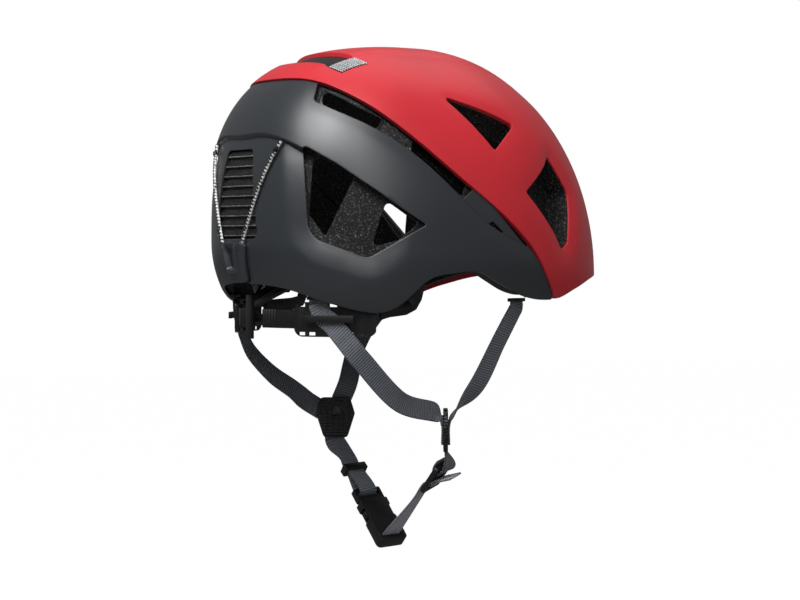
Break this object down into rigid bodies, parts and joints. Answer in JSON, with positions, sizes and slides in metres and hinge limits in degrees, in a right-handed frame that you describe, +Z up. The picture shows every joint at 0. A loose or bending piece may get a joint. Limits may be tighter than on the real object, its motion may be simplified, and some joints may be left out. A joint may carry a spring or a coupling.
{
  "type": "climbing helmet",
  "caption": "Climbing helmet: vented hard upper and lower shells on a foam liner, with a sliding head cradle, a rear headlamp bungee and a webbing chin strap with a side-release buckle.",
  "frame": {"origin": "middle of the head opening at the height of the rim, where the head carries the helmet", "axes": "+Z up through the crown, -Y to the front of the helmet, -X to the wearer's right"},
  "size_m": [0.22, 0.2737, 0.3478],
  "materials": {
    "red_shell": "satin moulded ABS",
    "grey_shell": "satin moulded ABS",
    "foam": "moulded bead foam",
    "webbing": "ribbed polyester webbing",
    "bungee": "flecked braided sheath",
    "silver_mesh": "woven insect mesh",
    "pad": "brushed polyester over foam",
    "black_nylon": "moulded nylon"
  },
  "bodies": {
    "root": {"adjuster_web": "webbing", "brow_pad": "pad", "buckle_male": "black_nylon", "bungee_anchor_left": "black_nylon", "bungee_anchor_right": "black_nylon", "bungee_cord_left": "bungee", "bungee_cord_right": "bungee", "chin_strap_left": "webbing", "chin_strap_right": "webbing", "cradle_yoke": "black_nylon", "crown_pad": "pad", "crown_vent_mesh": "silver_mesh", "foam_front": "foam", "foam_rear": "foam", "front_strap_left": "webbing", "front_strap_right": "webbing", "hanger_pin_left": "black_nylon", "hanger_pin_right": "black_nylon", "headlamp_clip_left": "black_nylon", "headlamp_clip_right": "black_nylon", "lower_shell": "grey_shell", "nape_pad_left": "pad", "nape_pad_right": "pad", "rear_rack": "black_nylon", "rear_rib_panel": "foam", "rear_strap_left": "webbing", "rear_strap_right": "webbing", "side_hanger_left": "black_nylon", "side_hanger_right": "black_nylon", "slot_frame_left": "black_nylon", "slot_frame_right": "black_nylon", "strap_adjuster": "black_nylon", "strap_anchor_front_left": "black_nylon", "strap_anchor_front_right": "black_nylon", "strap_anchor_rear_left": "black_nylon", "strap_anchor_rear_right": "black_nylon", "strap_divider_left": "black_nylon", "strap_divider_right": "black_nylon", "strap_guide_left": "black_nylon", "strap_guide_right": "black_nylon", "upper_shell": "red_shell"},
    "band_left": {"band_left": "black_nylon", "band_grip_left": "black_nylon"},
    "band_right": {"band_right": "black_nylon", "band_grip_right": "black_nylon"},
    "tab": {"bungee_tab": "grey_shell"},
    "buckle_female": {"buckle_female": "black_nylon"},
    "prong_left": {"buckle_prong_left": "black_nylon"},
    "prong_right": {"buckle_prong_right": "black_nylon"},
    "keeper": {"strap_keeper": "black_nylon"}
  },
  "joints": [
    {"name": "band_left_adjust", "type": "hinge", "parent": "root", "child": "band_left", "pos_m": [0, 0.02, -0.0175], "axis": [0, 0, -1], "range_deg": [-4, 4]},
    {"name": "band_right_adjust", "type": "hinge", "parent": "root", "child": "band_right", "pos_m": [0, 0.02, -0.0175], "axis": [0, 0, 1], "range_deg": [-4, 4]},
    {"name": "bungee_pull", "type": "slide", "parent": "root", "child": "tab", "axis": [0, 0.259, -0.9659], "range_m": [0, 0.015], "stiffness_N_per_m": 200, "springref_m": -0.002, "deforming": ["bungee_cord_left", "bungee_cord_right"]},
    {"name": "buckle_release", "type": "slide", "parent": "root", "child": "buckle_female", "axis": [-0.6829, -0.0854, -0.7255], "range_m": [0, 0.03], "deforming": ["chin_strap_right", "buckle_prong_left", "buckle_prong_right"]},
    {"name": "prong_left_press", "type": "hinge", "parent": "root", "child": "prong_left", "pos_m": [0.0209, 0.01693, -0.14954], "axis": [-0.7282, 0, 0.6854], "range_deg": [0, 10], "stiffness_Nm_per_rad": 0.3},
    {"name": "prong_right_press", "type": "hinge", "parent": "root", "child": "prong_right", "pos_m": [0.02158, 0.00538, -0.14882], "axis": [0.7282, 0, -0.6854], "range_deg": [0, 10], "stiffness_Nm_per_rad": 0.3},
    {"name": "keeper_slide", "type": "slide", "parent": "root", "child": "keeper", "axis": [0.7662, 0.0404, 0.6413], "range_m": [0, 0.008]}
  ]
}
